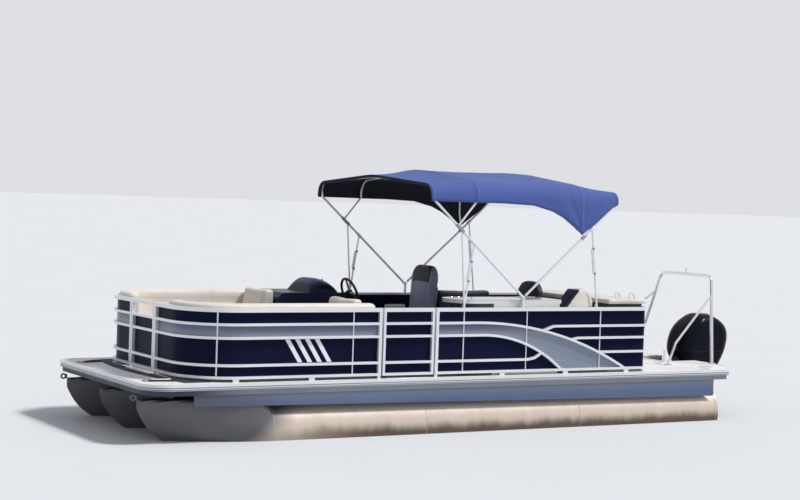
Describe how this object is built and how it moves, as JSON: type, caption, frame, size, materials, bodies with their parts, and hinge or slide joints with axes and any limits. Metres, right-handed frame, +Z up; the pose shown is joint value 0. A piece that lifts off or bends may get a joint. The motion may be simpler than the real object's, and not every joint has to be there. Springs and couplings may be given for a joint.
{
  "type": "pontoon boat",
  "caption": "Pontoon deck boat with round tubes, railed and panelled deck with gates, seats and helm, sun canopy on a folding bow frame, tow bar and tilting, steering outboard motor.",
  "frame": {"origin": "on the centre line at the waterline, halfway along the deck", "axes": "+X to the bow, +Y to port, +Z up"},
  "size_m": [7.9032, 2.59, 3.2915],
  "materials": {
    "tube_aluminium": "satin, dull where it stands in water",
    "plain_aluminium": "mill finish",
    "bright_aluminium": "bright anodised",
    "rub_rail": "semi-gloss",
    "deck_white": "satin, fine non-slip",
    "skirt_paint": "satin",
    "woven_floor": "woven vinyl",
    "navy_mat": "woven vinyl",
    "navy_paint": "gloss",
    "silver_paint": "gloss",
    "stripe_paint": "gloss",
    "moulded_white": "semi-gloss",
    "moulded_grey": "semi-gloss",
    "cream_vinyl": "soft satin vinyl",
    "console_navy": "gloss",
    "console_dark": "gloss",
    "wheel_black": "matt",
    "counter_grey": "gloss",
    "canopy_cloth": "woven acrylic",
    "polished_steel": "polished",
    "motor_paint": "satin",
    "cowl_black": "gloss",
    "propeller_steel": "brushed"
  },
  "bodies": {
    "hull": {"pontoon_port": "tube_aluminium", "pontoon_centre": "tube_aluminium", "pontoon_starboard": "tube_aluminium", "tow_eyes": "tube_aluminium", "rub_rail": "rub_rail", "deck": "deck_white", "edge_channel": "plain_aluminium", "side_skirts": "skirt_paint", "cross_members": "plain_aluminium", "risers": "plain_aluminium", "motor_mount": "plain_aluminium", "platform_beams": "plain_aluminium", "floor": "woven_floor", "bow_mat": "navy_mat", "fence_bow_port": "bright_aluminium", "fence_bow_starboard": "bright_aluminium", "fence_aft_port": "bright_aluminium", "fence_aft_starboard": "bright_aluminium", "panels_bow": "navy_paint", "panels_aft": "navy_paint", "silver_bands": "silver_paint", "side_stripes": "stripe_paint", "lounge_bases": "moulded_white", "lounge_seats": "cream_vinyl", "lounge_backs": "cream_vinyl", "helm_console": "console_navy", "console_hood": "console_dark", "chair_pedestals": "plain_aluminium", "cabinet": "moulded_white", "counter": "counter_grey", "aft_seat_base": "moulded_white", "aft_seat_cushions": "cream_vinyl", "sundeck_base": "moulded_grey", "sundeck_pad": "cream_vinyl", "side_lounge_base": "moulded_white", "side_lounge_cushions": "cream_vinyl", "canopy": "canopy_cloth", "canopy_frame_front": "bright_aluminium", "canopy_frame_rear": "bright_aluminium", "tow_bar": "polished_steel", "cleats": "polished_steel", "transom_bracket": "motor_paint"},
    "bow_gate": {"bow_gate_frame": "bright_aluminium", "bow_gate_panel": "navy_paint"},
    "side_gate": {"side_gate_frame": "bright_aluminium", "side_gate_panel": "navy_paint"},
    "stern_gate": {"stern_gate_frame": "bright_aluminium", "stern_gate_panel": "navy_paint"},
    "helm_seat": {"helm_chair": "cream_vinyl"},
    "companion_seat": {"companion_chair": "cream_vinyl"},
    "outboard_tilt": {"swivel_bracket": "motor_paint"},
    "outboard_steer": {"motor_leg": "motor_paint", "motor_cowl": "cowl_black"},
    "propeller_rotor": {"propeller": "propeller_steel"},
    "helm_wheel": {"steering_wheel": "wheel_black"}
  },
  "joints": [
    {"name": "bow_gate_hinge", "type": "hinge", "parent": "hull", "child": "bow_gate", "pos_m": [3.138, -0.292, 0.65], "axis": [0, 0, 1], "range_deg": [0, 90]},
    {"name": "side_gate_hinge", "type": "hinge", "parent": "hull", "child": "side_gate", "pos_m": [0.526, 1.181, 0.65], "axis": [0, 0, -1], "range_deg": [0, 90]},
    {"name": "stern_gate_hinge", "type": "hinge", "parent": "hull", "child": "stern_gate", "pos_m": [-2.188, -1.09, 0.65], "axis": [0, 0, -1], "range_deg": [0, 90]},
    {"name": "helm_chair_swivel", "type": "hinge", "parent": "hull", "child": "helm_seat", "pos_m": [-0.22, -0.75, 0.85], "axis": [0, 0, 1], "range_deg": [-180, 180]},
    {"name": "companion_chair_swivel", "type": "hinge", "parent": "hull", "child": "companion_seat", "pos_m": [-1.2, 0, 0.85], "axis": [0, 0, 1], "range_deg": [-180, 180]},
    {"name": "outboard_tilt_hinge", "type": "hinge", "parent": "hull", "child": "outboard_tilt", "pos_m": [-3.44, 0, 0.41], "axis": [0, 1, 0], "range_deg": [-4, 65]},
    {"name": "outboard_steer_hinge", "type": "hinge", "parent": "outboard_tilt", "child": "outboard_steer", "pos_m": [-3.545, 0, 0.2], "axis": [0, 0, 1], "range_deg": [-30, 30]},
    {"name": "propeller_spin", "type": "hinge", "parent": "outboard_steer", "child": "propeller_rotor", "pos_m": [-4.05, 0, -0.42], "axis": [1, 0, 0], "continuous": true},
    {"name": "steering_wheel_turn", "type": "hinge", "parent": "hull", "child": "helm_wheel", "pos_m": [0.437, -0.75, 1.28], "axis": [0.9397, 0, -0.342], "range_deg": [-540, 540]}
  ],
  "couplings": [
    {"joint": "steering_wheel_turn", "follows": "outboard_steer_hinge", "ratio": 18}
  ]
}
